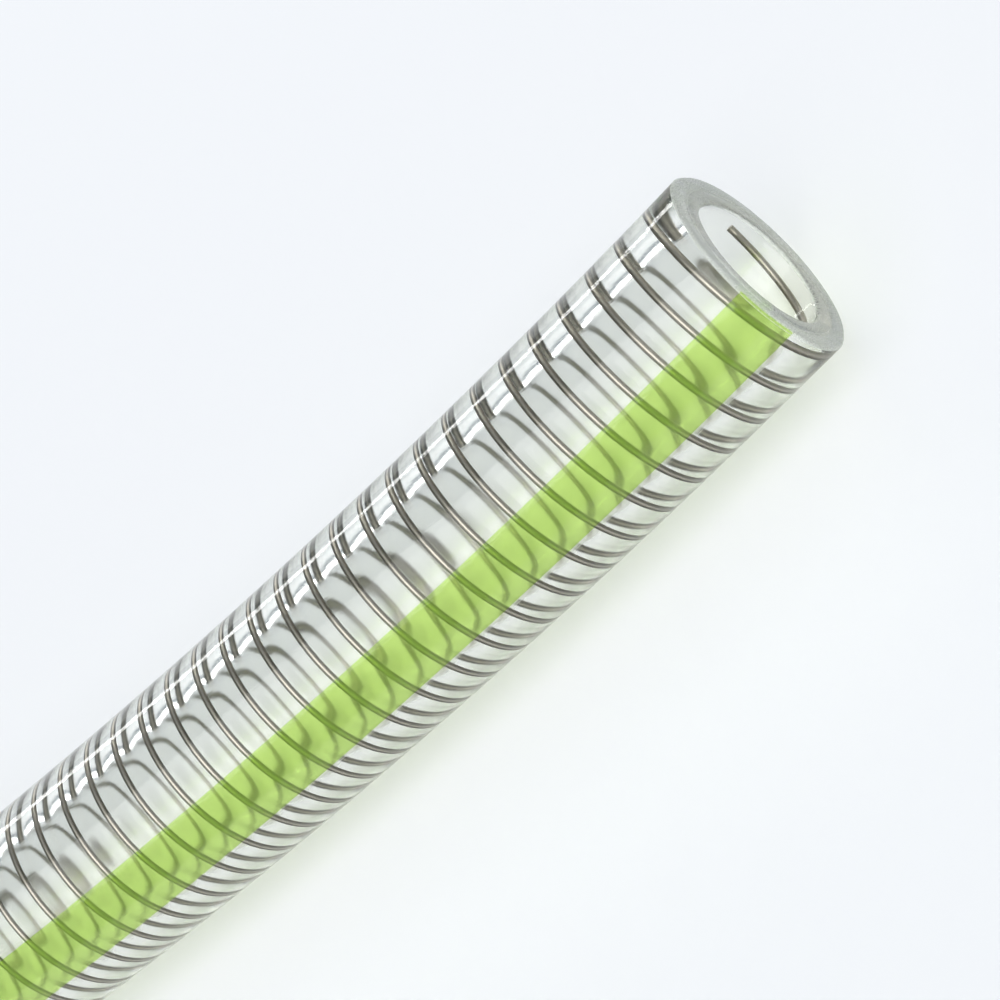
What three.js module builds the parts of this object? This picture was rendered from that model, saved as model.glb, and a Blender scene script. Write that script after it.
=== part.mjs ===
// A cut length of clear fluoropolymer hose: a clear wall in two bonded layers, a round steel
// spring wire wound between them, and one green stripe let into the cover along its whole length.
// The hose lies on z = 0. It is gently bent towards +Y at its +X end and straight beyond. The
// cut at the +X end stands a few degrees off square, as a hand cut does, and the other is square. Millimetres, +Z up, origin under the middle of the part's bounding box.
import * as THREE from "three";

// Driving dimensions, in millimetres and degrees
const BORE_DIAMETER = 15;
const WALL_THICKNESS = 3.5; // of both layers and the wire between them
const HOSE_LENGTH = 500; // along the centreline
const BENT_LENGTH = 110; // of the bent stretch at the +X end, along the centreline
const BEND_RADIUS = 660; // of the centreline
const CUT_TILT = 7.25; // of the cut at the +X end, off square
const CUT_TILT_DIRECTION = 45; // where that cut leans back most, from -Y up towards +Z
const WIRE_DIAMETER = 0.75;
const WIRE_PITCH = 4.02;
const WIRE_START_ANGLE = 119; // at the +X end, measured from -Y up towards +Z
const WIRE_END_INSET = 0.9; // from each end of the centreline to the middle of the wire's end
const WIRE_CLEARANCE = 0.15; // between the wire and the layers on either side
const STRIPE_LOW_ANGLE = 13; // the stripe's lower edge, measured from -Y up towards +Z
const STRIPE_HIGH_ANGLE = 47;
const STRIPE_THICKNESS = 0.4;
const STRIPE_CLEARANCE = 0.2; // between the stripe and its groove

// How finely round shapes are divided
const SIDES_ROUND_HOSE = 24;
const STEPS_ALONG_BEND = 8;
const STEPS_PER_TURN = 12;
const STRIPE_STEPS_ACROSS = 4;

// Derived sizes
const BORE_RADIUS = BORE_DIAMETER / 2;
const OUTER_RADIUS = BORE_RADIUS + WALL_THICKNESS;
const WIRE_RADIUS_IN_WALL = (BORE_RADIUS + OUTER_RADIUS) / 2;
const HALF_SIDE_ANGLE = Math.PI / SIDES_ROUND_HOSE;
const HALF_TURN_STEP = Math.PI / STEPS_PER_TURN;

// The wire's square section has the area of the round wire. Its corner points stand a little
// outside the true helix and its chords pass a little inside it.
const WIRE_HALF_SIDE = (WIRE_DIAMETER / 4) * Math.sqrt(Math.PI);
const WIRE_POINT_RADIUS = (2 * WIRE_RADIUS_IN_WALL) / (1 + Math.cos(HALF_TURN_STEP));
const WIRE_OUTER_REACH = WIRE_POINT_RADIUS + WIRE_HALF_SIDE;
const WIRE_INNER_REACH = WIRE_POINT_RADIUS * Math.cos(HALF_TURN_STEP) - WIRE_HALF_SIDE;
const INNER_TUBE_RADIUS = WIRE_INNER_REACH - WIRE_CLEARANCE;
const COVER_INNER_RADIUS = (WIRE_OUTER_REACH + WIRE_CLEARANCE) / Math.cos(HALF_SIDE_ANGLE);

const radians = (degrees) => THREE.MathUtils.degToRad(degrees);

// The centreline lies half a diameter above the floor. Distance along it is counted from the
// +X end: an arc of the bent length, and then a straight run to the -X end. The frame at each
// place has outward (away from the bend's centre), up and along.
const END_TURN = BENT_LENGTH / BEND_RADIUS;
const STRAIGHT_LENGTH = HOSE_LENGTH - BENT_LENGTH;

// How far the cut leans back for each unit of radius, outward and up, and how far its rim reaches
// from the centreline in x and in y. They set where the hose lies about the origin.
const LEAN_OUTWARD = Math.tan(radians(CUT_TILT)) * Math.cos(radians(CUT_TILT_DIRECTION));
const LEAN_UP = Math.tan(radians(CUT_TILT)) * Math.sin(radians(CUT_TILT_DIRECTION));
const RIM_REACH_X =
  OUTER_RADIUS *
  Math.hypot(
    Math.sin(END_TURN) - LEAN_OUTWARD * Math.cos(END_TURN),
    LEAN_UP * Math.cos(END_TURN),
  );
const RIM_REACH_Y =
  OUTER_RADIUS *
  Math.hypot(
    Math.cos(END_TURN) + LEAN_OUTWARD * Math.sin(END_TURN),
    LEAN_UP * Math.sin(END_TURN),
  );
const BEND_START_X = (STRAIGHT_LENGTH - BEND_RADIUS * Math.sin(END_TURN) - RIM_REACH_X) / 2;
const STRAIGHT_Y =
  (OUTER_RADIUS - RIM_REACH_Y - BEND_RADIUS * (1 - Math.cos(END_TURN))) / 2;

function hoseFrame(distance) {
  const turn = Math.max(0, BENT_LENGTH - distance) / BEND_RADIUS;
  const outward = new THREE.Vector3(Math.sin(turn), -Math.cos(turn), 0);
  const up = new THREE.Vector3(0, 0, 1);
  const along = new THREE.Vector3(-Math.cos(turn), -Math.sin(turn), 0);
  const point = outward.clone().multiplyScalar(BEND_RADIUS);
  point.add(new THREE.Vector3(BEND_START_X, STRAIGHT_Y + BEND_RADIUS, OUTER_RADIUS));
  point.addScaledVector(along, Math.max(0, distance - BENT_LENGTH));
  return { point, outward, up, along };
}

// A curve that gives its own points and frames, so that a swept section never twists.
// A section's x axis becomes the frame's normal and its y axis the frame's binormal.
class FramedCurve extends THREE.Curve {
  getPoint(share) {
    return this.frame(share).point;
  }

  getSpacedPoints(steps) {
    return Array.from({ length: steps + 1 }, (_, i) => this.getPoint(i / steps));
  }

  computeFrenetFrames(steps) {
    const frames = Array.from({ length: steps + 1 }, (_, i) => this.frame(i / steps));
    return {
      tangents: frames.map((frame) => frame.tangent),
      normals: frames.map((frame) => frame.normal),
      binormals: frames.map((frame) => frame.binormal),
    };
  }
}

// The hose's centreline, with even steps along the bend and one step along the straight run.
// Its first section leans back with the cut.
class HoseCurve extends FramedCurve {
  frame(share) {
    const step = share * (STEPS_ALONG_BEND + 1);
    const distance = step > STEPS_ALONG_BEND ? HOSE_LENGTH : (step / STEPS_ALONG_BEND) * BENT_LENGTH;
    const { point, outward, up, along } = hoseFrame(distance);
    if (share === 0) {
      outward.addScaledVector(along, LEAN_OUTWARD);
      up.addScaledVector(along, LEAN_UP);
    }
    return { point, tangent: along, normal: outward, binormal: up };
  }
}

// The right-handed helix of the wire, which follows the bend.
class WireCurve extends FramedCurve {
  frame(share) {
    const woundLength = HOSE_LENGTH - 2 * WIRE_END_INSET;
    const distance = WIRE_END_INSET + share * woundLength;
    const { point, outward, up, along } = hoseFrame(distance);
    const angle = radians(WIRE_START_ANGLE) + (2 * Math.PI * distance) / WIRE_PITCH;
    const normal = outward.clone().multiplyScalar(Math.cos(angle));
    normal.addScaledVector(up, Math.sin(angle));
    const tangent = up.clone().multiplyScalar(Math.cos(angle));
    tangent.addScaledVector(outward, -Math.sin(angle));
    tangent.multiplyScalar((2 * Math.PI * WIRE_POINT_RADIUS) / WIRE_PITCH);
    tangent.add(along).normalize();
    const binormal = tangent.clone().cross(normal);
    point.addScaledVector(normal, WIRE_POINT_RADIUS);
    return { point, tangent, normal, binormal };
  }
}

// Section outlines: x points away from the bend's centre, y points up.
const pointAt = (radius, angle) =>
  new THREE.Vector2(radius * Math.cos(angle), radius * Math.sin(angle));

function roundOutline(radius) {
  return Array.from({ length: SIDES_ROUND_HOSE }, (_, i) =>
    pointAt(radius, 2 * i * HALF_SIDE_ANGLE),
  );
}

function arcPoints(radius, from, to, steps) {
  return Array.from({ length: steps + 1 }, (_, i) =>
    pointAt(radius, from + ((to - from) * i) / steps),
  );
}

function ringShape(outline, innerRadius) {
  const shape = new THREE.Shape(outline);
  shape.holes.push(new THREE.Path(roundOutline(innerRadius).reverse()));
  return shape;
}

// The cover's outer outline, with the groove for the stripe cut into it.
function grooveOutline() {
  const sideGap = STRIPE_CLEARANCE / OUTER_RADIUS;
  const low = radians(STRIPE_LOW_ANGLE) - sideGap;
  const high = radians(STRIPE_HIGH_ANGLE) + sideGap;
  const floorRadius = OUTER_RADIUS - STRIPE_THICKNESS - STRIPE_CLEARANCE;
  const outside = roundOutline(OUTER_RADIUS).filter((point) => {
    const angle = Math.atan2(point.y, point.x);
    return angle < low || angle > high;
  });
  const fullTurn = 2 * Math.PI;
  outside.sort((a, b) => {
    const after = (point) => (Math.atan2(point.y, point.x) - high + 2 * fullTurn) % fullTurn;
    return after(a) - after(b);
  });
  const floor = arcPoints(floorRadius, low, high, STRIPE_STEPS_ACROSS);
  return [pointAt(OUTER_RADIUS, high), ...outside, pointAt(OUTER_RADIUS, low), ...floor];
}

function stripeShape() {
  const low = radians(STRIPE_LOW_ANGLE);
  const high = radians(STRIPE_HIGH_ANGLE);
  const face = arcPoints(OUTER_RADIUS, low, high, STRIPE_STEPS_ACROSS);
  const back = arcPoints(OUTER_RADIUS - STRIPE_THICKNESS, high, low, STRIPE_STEPS_ACROSS);
  return new THREE.Shape([...face, ...back]);
}

function wireShape() {
  const h = WIRE_HALF_SIDE;
  const corners = [[h, -h], [h, h], [-h, h], [-h, -h]];
  return new THREE.Shape(corners.map(([x, y]) => new THREE.Vector2(x, y)));
}

function swept(name, shape, path, steps, material) {
  const geometry = new THREE.ExtrudeGeometry(shape, { extrudePath: path, steps });
  const mesh = new THREE.Mesh(geometry, material);
  mesh.name = name;
  return mesh;
}

const clear = { transparent: true, opacity: 0.4, roughness: 0.1, metalness: 0 };
const innerMaterial = new THREE.MeshStandardMaterial({ color: 0xdfe5e2, ...clear });
const coverMaterial = new THREE.MeshStandardMaterial({ color: 0xd3dad5, ...clear });
const wireMaterial = new THREE.MeshStandardMaterial({
  color: 0x8a847a,
  roughness: 0.25,
  metalness: 1,
});
const stripeMaterial = new THREE.MeshStandardMaterial({ color: 0xb2d578, roughness: 0.3 });

const hosePath = new HoseCurve();
const hoseSteps = STEPS_ALONG_BEND + 1;
const wireSteps = Math.round(((HOSE_LENGTH - 2 * WIRE_END_INSET) / WIRE_PITCH) * STEPS_PER_TURN);
const innerShape = ringShape(roundOutline(INNER_TUBE_RADIUS), BORE_RADIUS);
const coverShape = ringShape(grooveOutline(), COVER_INNER_RADIUS);

const hose = new THREE.Group();
hose.add(swept("inner_tube", innerShape, hosePath, hoseSteps, innerMaterial));
hose.add(swept("spring_wire", wireShape(), new WireCurve(), wireSteps, wireMaterial));
hose.add(swept("outer_cover", coverShape, hosePath, hoseSteps, coverMaterial));
hose.add(swept("green_stripe", stripeShape(), hosePath, hoseSteps, stripeMaterial));

export default hose;
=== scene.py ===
"""A cut length of clear spring hose: a clear refractive wall, a round steel wire helix inside it
and a translucent green stripe under its outer face, on a pale floor in soft studio light."""

import math

import bmesh
import bpy
from mathutils import Matrix, Vector


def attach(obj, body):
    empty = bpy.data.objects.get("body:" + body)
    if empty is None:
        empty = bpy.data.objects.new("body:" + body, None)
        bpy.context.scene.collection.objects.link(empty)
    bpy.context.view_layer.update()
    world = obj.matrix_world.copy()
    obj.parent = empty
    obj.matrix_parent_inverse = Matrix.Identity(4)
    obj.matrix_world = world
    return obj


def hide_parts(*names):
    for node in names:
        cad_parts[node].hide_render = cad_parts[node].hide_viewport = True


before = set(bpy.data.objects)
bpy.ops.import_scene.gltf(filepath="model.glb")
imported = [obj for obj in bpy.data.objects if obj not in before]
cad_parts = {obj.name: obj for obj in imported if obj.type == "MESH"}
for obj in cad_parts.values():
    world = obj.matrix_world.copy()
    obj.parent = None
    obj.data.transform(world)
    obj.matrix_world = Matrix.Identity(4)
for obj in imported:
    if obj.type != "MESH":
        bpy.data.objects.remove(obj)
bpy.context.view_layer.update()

# The hose, in metres: the same sizes as its solids
BORE_RADIUS = 0.0075
OUTER_RADIUS = 0.011
HOSE_LENGTH = 0.5
BENT_LENGTH = 0.11
BEND_RADIUS = 0.66
CUT_TILT = math.radians(7.25)
CUT_TILT_DIRECTION = math.radians(45)
WIRE_RADIUS = 0.000375
WIRE_RADIUS_IN_WALL = (BORE_RADIUS + OUTER_RADIUS) / 2
WIRE_PITCH = 0.00402
WIRE_START_ANGLE = math.radians(119)
WIRE_END_INSET = 0.0009
STRIPE_LOW_ANGLE = math.radians(13)
STRIPE_HIGH_ANGLE = math.radians(47)
STRIPE_THICKNESS = 0.0004
STRIPE_DEPTH = 0.00006  # of clear wall over the stripe
STRIPE_MILKINESS = 0.14  # the share of light that the stripe scatters
WALL_IOR = 1.5

# How finely the shapes are divided
SIDES = 64
BORE_STEPS_PER_PITCH = 8
OUTER_STEP = 0.004
WIRE_SIDES = 8
WIRE_STEPS_PER_TURN = 44
STRIPE_STEPS_ACROSS = 12
ROUTE_STEPS = 24

# The faint swelling of the bore between the wire's turns, and the broken edges of the cut
BORE_WAVE = 0.00004
CUT_EDGE_ROUND = 0.0003

# The slanted cut fades into square sections over this length, and a fine groove marks the seam
# between the wall's two layers on each cut face
CUT_FADE = 0.008
SEAM_HALF_WIDTH = 0.0002
SEAM_DEPTH = 0.0002

# The frosted share of each cut face inside and outside the seam, and how much it varies
INNER_FROST = 0.40
OUTER_FROST = 0.60
FROST_CONTRAST = 1.5

# How closely the knife's marks follow each other along x, y and z on the cut faces
KNIFE_MARKS = (300.0, 1500.0, 500.0)

ROOT = "root"
OUTSIDE, BORE, CUT_INNER, CUT_OUTER = 0, 1, 2, 3
END_TURN = BENT_LENGTH / BEND_RADIUS
STRAIGHT_LENGTH = HOSE_LENGTH - BENT_LENGTH
LEAN_OUTWARD = math.tan(CUT_TILT) * math.cos(CUT_TILT_DIRECTION)
LEAN_UP = math.tan(CUT_TILT) * math.sin(CUT_TILT_DIRECTION)
RIM_REACH_X = OUTER_RADIUS * math.hypot(
    math.sin(END_TURN) - LEAN_OUTWARD * math.cos(END_TURN), LEAN_UP * math.cos(END_TURN))
RIM_REACH_Y = OUTER_RADIUS * math.hypot(
    math.cos(END_TURN) + LEAN_OUTWARD * math.sin(END_TURN), LEAN_UP * math.sin(END_TURN))
BEND_START_X = (STRAIGHT_LENGTH - BEND_RADIUS * math.sin(END_TURN) - RIM_REACH_X) / 2
STRAIGHT_Y = (OUTER_RADIUS - RIM_REACH_Y - BEND_RADIUS * (1 - math.cos(END_TURN))) / 2


def hose_frame(distance):
    """The centreline's point, outward, up and along directions at a distance from the +X end."""
    turn = max(0.0, BENT_LENGTH - distance) / BEND_RADIUS
    outward = Vector((math.sin(turn), -math.cos(turn), 0))
    up = Vector((0, 0, 1))
    along = Vector((-math.cos(turn), -math.sin(turn), 0))
    point = outward * BEND_RADIUS + Vector((BEND_START_X, STRAIGHT_Y + BEND_RADIUS, OUTER_RADIUS))
    point += along * max(0.0, distance - BENT_LENGTH)
    return point, outward, up, along


def wall_point(distance, radius, angle):
    """A point in the wall: the angle is measured from the outside of the bend up over the top."""
    point, outward, up, along = hose_frame(distance)
    across, height = math.cos(angle) * radius, math.sin(angle) * radius
    lean = (LEAN_OUTWARD * across + LEAN_UP * height) * max(0.0, 1 - distance / CUT_FADE)
    return point + outward * across + up * height + along * lean


def wire_angle(distance):
    return WIRE_START_ANGLE + 2 * math.pi * distance / WIRE_PITCH


def make_mesh(name, vertices, faces, material, smooth=True):
    mesh = bpy.data.meshes.new(name)
    mesh.from_pydata([tuple(v) for v in vertices], [], faces)
    shape = bmesh.new()
    shape.from_mesh(mesh)
    bmesh.ops.recalc_face_normals(shape, faces=shape.faces)
    shape.to_mesh(mesh)
    shape.free()
    for polygon in mesh.polygons:
        polygon.use_smooth = smooth
    piece = bpy.data.objects.new(name, mesh)
    bpy.context.scene.collection.objects.link(piece)
    piece.data.materials.append(material)
    return piece


def ring_faces(first, second, count):
    """Quads between two closed rings of vertex numbers."""
    return [(first + i, second + i, second + (i + 1) % count, first + (i + 1) % count)
            for i in range(count)]


def cut_face_stations(distance, inwards):
    """Stations across a cut face from the bore to the outside, with the seam's groove."""
    seam = (BORE_RADIUS + OUTER_RADIUS) / 2
    e = CUT_EDGE_ROUND
    return [
        (distance, BORE_RADIUS + e, CUT_INNER),
        (distance, seam - SEAM_HALF_WIDTH, CUT_INNER),
        (distance + inwards * SEAM_DEPTH, seam, CUT_OUTER),
        (distance, seam + SEAM_HALF_WIDTH, CUT_OUTER),
        (distance, OUTER_RADIUS - e, CUT_OUTER),
    ]


def wall_profile():
    """Stations round the wall's lengthwise section: along the bore, over one cut face, back along
    the outside and over the other cut face. Each has its distance, radius and kind of surface."""
    stations = []
    bore_count = round(HOSE_LENGTH / WIRE_PITCH * BORE_STEPS_PER_PITCH)
    outer_count = round(HOSE_LENGTH / OUTER_STEP)
    e = CUT_EDGE_ROUND
    for i in range(bore_count + 1):
        stations.append((e + (HOSE_LENGTH - 2 * e) * i / bore_count, BORE_RADIUS, BORE))
    stations += cut_face_stations(HOSE_LENGTH, -1)
    for i in range(outer_count + 1):
        distance = HOSE_LENGTH - e - (HOSE_LENGTH - 2 * e) * i / outer_count
        stations.append((distance, OUTER_RADIUS, OUTSIDE))
    stations += reversed(cut_face_stations(0.0, 1))
    return stations


def build_wall(material):
    """The clear wall. Face attributes tell its material where the bore and the cut faces are, and
    how much of a cut face is frosted."""
    vertices, faces, kinds = [], [], []
    stations = wall_profile()
    for distance, radius, kind in stations:
        for i in range(SIDES):
            angle = 2 * math.pi * i / SIDES
            wave = BORE_WAVE * math.cos(angle - wire_angle(distance)) if kind == BORE else 0.0
            vertices.append(wall_point(distance, radius - wave, angle))
    for k, station in enumerate(stations):
        following = (k + 1) % len(stations)
        faces += ring_faces(k * SIDES, following * SIDES, SIDES)
        kinds += [max(station[2], stations[following][2])] * SIDES
    wall = make_mesh("clear_wall", vertices, faces, material)
    kind_values = {
        "bore": {BORE: 1.0},
        "cut": {CUT_INNER: 1.0, CUT_OUTER: 1.0},
        "frost": {CUT_INNER: INNER_FROST, CUT_OUTER: OUTER_FROST},
    }
    for name, values in kind_values.items():
        attribute = wall.data.attributes.new(name, "FLOAT", "FACE")
        attribute.data.foreach_set("value", [values.get(kind, 0.0) for kind in kinds])
    return wall


def build_wire(material):
    vertices, faces = [], []
    wound = HOSE_LENGTH - 2 * WIRE_END_INSET
    count = round(wound / WIRE_PITCH * WIRE_STEPS_PER_TURN)
    for k in range(count + 1):
        distance = WIRE_END_INSET + wound * k / count
        point, outward, up, along = hose_frame(distance)
        angle = wire_angle(distance)
        radial = outward * math.cos(angle) + up * math.sin(angle)
        around = up * math.cos(angle) - outward * math.sin(angle)
        tangent = (around * (2 * math.pi * WIRE_RADIUS_IN_WALL / WIRE_PITCH) + along).normalized()
        side = tangent.cross(radial)
        centre = point + radial * WIRE_RADIUS_IN_WALL
        for i in range(WIRE_SIDES):
            a = 2 * math.pi * i / WIRE_SIDES
            vertices.append(centre + (radial * math.cos(a) + side * math.sin(a)) * WIRE_RADIUS)
    for k in range(count):
        faces += ring_faces(k * WIRE_SIDES, (k + 1) * WIRE_SIDES, WIRE_SIDES)
    faces.append(tuple(reversed(range(WIRE_SIDES))))
    faces.append(tuple(range(count * WIRE_SIDES, (count + 1) * WIRE_SIDES)))
    return make_mesh("spring_wire_round", vertices, faces, material)


def build_stripe(material):
    """The stripe: a thin closed strip that follows the wall just under its outer face."""
    vertices, faces = [], []
    outer = OUTER_RADIUS - STRIPE_DEPTH
    shares = [i / STRIPE_STEPS_ACROSS for i in range(STRIPE_STEPS_ACROSS + 1)]
    section = [(outer, share) for share in shares]
    section += [(outer - STRIPE_THICKNESS, share) for share in reversed(shares)]
    steps = round(HOSE_LENGTH / OUTER_STEP)
    for k in range(steps + 1):
        distance = STRIPE_DEPTH + (HOSE_LENGTH - 2 * STRIPE_DEPTH) * k / steps
        for radius, share in section:
            angle = STRIPE_LOW_ANGLE + (STRIPE_HIGH_ANGLE - STRIPE_LOW_ANGLE) * share
            vertices.append(wall_point(distance, radius, angle))
    n = len(section)
    for k in range(steps):
        faces += ring_faces(k * n, (k + 1) * n, n)
    faces.append(tuple(reversed(range(n))))
    faces.append(tuple(range(steps * n, (steps + 1) * n)))
    return make_mesh("green_stripe_strip", vertices, faces, material)


class Nodes:
    """A material's node tree with short calls to add and link nodes."""

    def __init__(self, name):
        self.material = bpy.data.materials.new(name)
        self.material.use_nodes = True
        self.tree = self.material.node_tree
        self.tree.nodes.clear()
        self.output = self.tree.nodes.new("ShaderNodeOutputMaterial")

    def add(self, kind, **inputs):
        node = self.tree.nodes.new(kind)
        for name, value in inputs.items():
            node.inputs[name.replace("_", " ")].default_value = value
        return node

    def link(self, source, target):
        self.tree.links.new(source, target)

    def blend(self, first, second, share):
        """A mix of two shaders: share is a number, or the output that gives it."""
        mix = self.tree.nodes.new("ShaderNodeMixShader")
        if isinstance(share, float):
            mix.inputs[0].default_value = share
        else:
            self.link(share, mix.inputs[0])
        self.link(first.outputs[0], mix.inputs[1])
        self.link(second.outputs[0], mix.inputs[2])
        return mix

    def glass(self, tint, roughness):
        shader = self.add("ShaderNodeBsdfPrincipled", Base_Color=tint, Roughness=roughness,
                          IOR=WALL_IOR)
        shader.inputs["Transmission Weight"].default_value = 1.0
        return shader


def wall_material():
    """Clear plastic: smooth outside, faintly wavy and softer in the bore, dulled and scored by the
    knife on the cut faces. It tints what passes through it and lets soft shadows through."""
    n = Nodes("clear_cover")
    in_bore = n.add("ShaderNodeAttribute")
    in_bore.attribute_name = "bore"
    on_cut = n.add("ShaderNodeAttribute")
    on_cut.attribute_name = "cut"
    frost = n.add("ShaderNodeAttribute")
    frost.attribute_name = "frost"
    smooth = n.glass((0.93, 0.935, 0.912, 1), 0.02)
    soft = n.glass((0.93, 0.935, 0.92, 1), 0.11)
    frosted = n.glass((0.98, 0.985, 0.965, 1), 0.24)
    dull = n.add("ShaderNodeBsdfDiffuse")
    lit_through = n.add("ShaderNodeBsdfTranslucent", Color=(0.86, 0.91, 0.82, 1))
    place = n.add("ShaderNodeTexCoord")
    along_knife = n.add("ShaderNodeMapping", Scale=KNIFE_MARKS)
    n.link(place.outputs["Object"], along_knife.inputs["Vector"])
    score = n.add("ShaderNodeTexNoise", Scale=1.0, Detail=3.0)
    n.link(along_knife.outputs["Vector"], score.inputs["Vector"])
    tint = n.add("ShaderNodeMixRGB", Color1=(1.0, 1.0, 0.99, 1),
                 Color2=(0.76, 0.81, 0.66, 1))
    n.link(score.outputs["Fac"], tint.inputs["Fac"])
    n.link(tint.outputs["Color"], dull.inputs["Color"])
    bump = n.add("ShaderNodeBump", Strength=0.5, Distance=0.0003)
    n.link(score.outputs["Fac"], bump.inputs["Height"])
    for shader in (frosted, dull):
        n.link(bump.outputs["Normal"], shader.inputs["Normal"])
    ripple = n.add("ShaderNodeTexNoise", Scale=170.0, Detail=2.0)
    waves = n.add("ShaderNodeBump", Strength=0.03, Distance=0.0003)
    n.link(ripple.outputs["Fac"], waves.inputs["Height"])
    n.link(waves.outputs["Normal"], smooth.inputs["Normal"])
    walls = n.blend(smooth, soft, in_bore.outputs["Fac"])
    body = n.blend(dull, lit_through, 0.15)
    streaks = n.add("ShaderNodeTexNoise", Scale=260.0, Detail=3.0)
    patchy = n.add("ShaderNodeMath")
    patchy.operation = "MULTIPLY_ADD"
    patchy.inputs[1].default_value = FROST_CONTRAST
    shift = n.add("ShaderNodeMath")
    shift.operation = "SUBTRACT"
    shift.inputs[1].default_value = FROST_CONTRAST / 2
    n.link(frost.outputs["Fac"], shift.inputs[0])
    n.link(streaks.outputs["Fac"], patchy.inputs[0])
    n.link(shift.outputs[0], patchy.inputs[2])
    cut = n.blend(frosted, body, patchy.outputs[0])
    surface = n.blend(walls, cut, on_cut.outputs["Fac"])
    clear = n.add("ShaderNodeBsdfTransparent", Color=(0.985, 0.985, 0.98, 1))
    path = n.add("ShaderNodeLightPath")
    shaded = n.blend(surface, clear, path.outputs["Is Shadow Ray"])
    n.link(shaded.outputs[0], n.output.inputs["Surface"])
    absorb = n.add("ShaderNodeVolumeAbsorption", Color=(0.80, 0.84, 0.78, 1), Density=45.0)
    n.link(absorb.outputs[0], n.output.inputs["Volume"])
    return n.material


def wire_material():
    n = Nodes("spring_steel")
    shader = n.add("ShaderNodeBsdfPrincipled", Base_Color=(0.42, 0.385, 0.32, 1),
                   Roughness=0.32, Metallic=1.0)
    n.link(shader.outputs[0], n.output.inputs["Surface"])
    return n.material


def stripe_material():
    """Translucent green: mostly a tint, with a little light scattered in its body."""
    n = Nodes("green_stripe")
    tint = n.add("ShaderNodeBsdfTransparent", Color=(0.88, 0.99, 0.58, 1))
    scatter = n.add("ShaderNodeBsdfTranslucent", Color=(0.72, 0.95, 0.30, 1))
    face = n.add("ShaderNodeBsdfDiffuse", Color=(0.66, 0.92, 0.26, 1))
    body = n.blend(scatter, face, 0.5)
    mix = n.blend(tint, body, STRIPE_MILKINESS)
    n.link(mix.outputs[0], n.output.inputs["Surface"])
    return n.material


def floor_material():
    n = Nodes("floor")
    shader = n.add("ShaderNodeBsdfPrincipled", Base_Color=(0.9, 0.9, 0.9, 1), Roughness=0.6)
    n.link(shader.outputs[0], n.output.inputs["Surface"])
    return n.material


# The camera, as in the photograph: close, above the open end and turned about its view axis
CAMERA_PLACE = Vector((0.32128, -0.15967, 0.22173))
CAMERA_RIGHT = Vector((0.73116, -0.31055, -0.60743))
CAMERA_UP = Vector((0.57098, 0.76584, 0.29575))
CAMERA_LENS = 106.2

# The studio: a wide floor, a large soft light overhead on the camera's side, and a low narrow
# light beyond the hose that draws the fine bright lines along its top
FLOOR_SIZE = 5.0
WORLD_COLOUR = (0.76, 0.84, 0.95, 1)
WORLD_STRENGTH = 0.42
CEILING_PLACE = (0.1, -1.0, 2.0)
CEILING_TARGET = (0.1, -0.1, 0)
CEILING_SIZE = (3.0, 2.2)
CEILING_POWER = 50.0
STRIP_PLACE = (0.2, 0.80, 0.195)
STRIP_TARGET = (0.2, 0, OUTER_RADIUS)
STRIP_SIZE = (1.4, 0.06)
STRIP_POWER = 2.4


def build_camera():
    data = bpy.data.cameras.new("camera")
    data.lens = CAMERA_LENS
    data.sensor_width = 36
    data.clip_start = 0.01
    camera = bpy.data.objects.new("camera", data)
    bpy.context.scene.collection.objects.link(camera)
    back = CAMERA_RIGHT.cross(CAMERA_UP)
    rotation = Matrix((CAMERA_RIGHT, CAMERA_UP, back)).transposed()
    camera.matrix_world = Matrix.Translation(CAMERA_PLACE) @ rotation.to_4x4()
    bpy.context.scene.camera = camera


def area_light(name, place, target, size, power):
    data = bpy.data.lights.new(name, "AREA")
    data.shape = "RECTANGLE"
    data.size, data.size_y = size
    data.energy = power
    light = bpy.data.objects.new(name, data)
    light.location = place
    light.rotation_euler = (Vector(target) - Vector(place)).to_track_quat("-Z", "Y").to_euler()
    bpy.context.scene.collection.objects.link(light)


def build_stage():
    half = FLOOR_SIZE / 2
    corners = [(-half, -half, 0), (half, -half, 0), (half, half, 0), (-half, half, 0)]
    floor = make_mesh("floor", corners, [(0, 1, 2, 3)], floor_material(), smooth=False)
    world = bpy.data.worlds.new("studio")
    world.use_nodes = True
    background = world.node_tree.nodes["Background"]
    background.inputs["Color"].default_value = WORLD_COLOUR
    background.inputs["Strength"].default_value = WORLD_STRENGTH
    bpy.context.scene.world = world
    area_light("ceiling", CEILING_PLACE, CEILING_TARGET, CEILING_SIZE, CEILING_POWER)
    area_light("strip", STRIP_PLACE, STRIP_TARGET, STRIP_SIZE, STRIP_POWER)
    bpy.context.scene.view_settings.view_transform = "Standard"


build_camera()
wall = build_wall(wall_material())
wire = build_wire(wire_material())
stripe = build_stripe(stripe_material())

route = [tuple(hose_frame(HOSE_LENGTH * i / ROUTE_STEPS)[0]) for i in range(ROUTE_STEPS + 1)]
for piece in (wall, wire, stripe):
    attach(piece, ROOT)
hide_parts("inner_tube", "outer_cover")
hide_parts("spring_wire")
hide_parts("green_stripe")

build_stage()
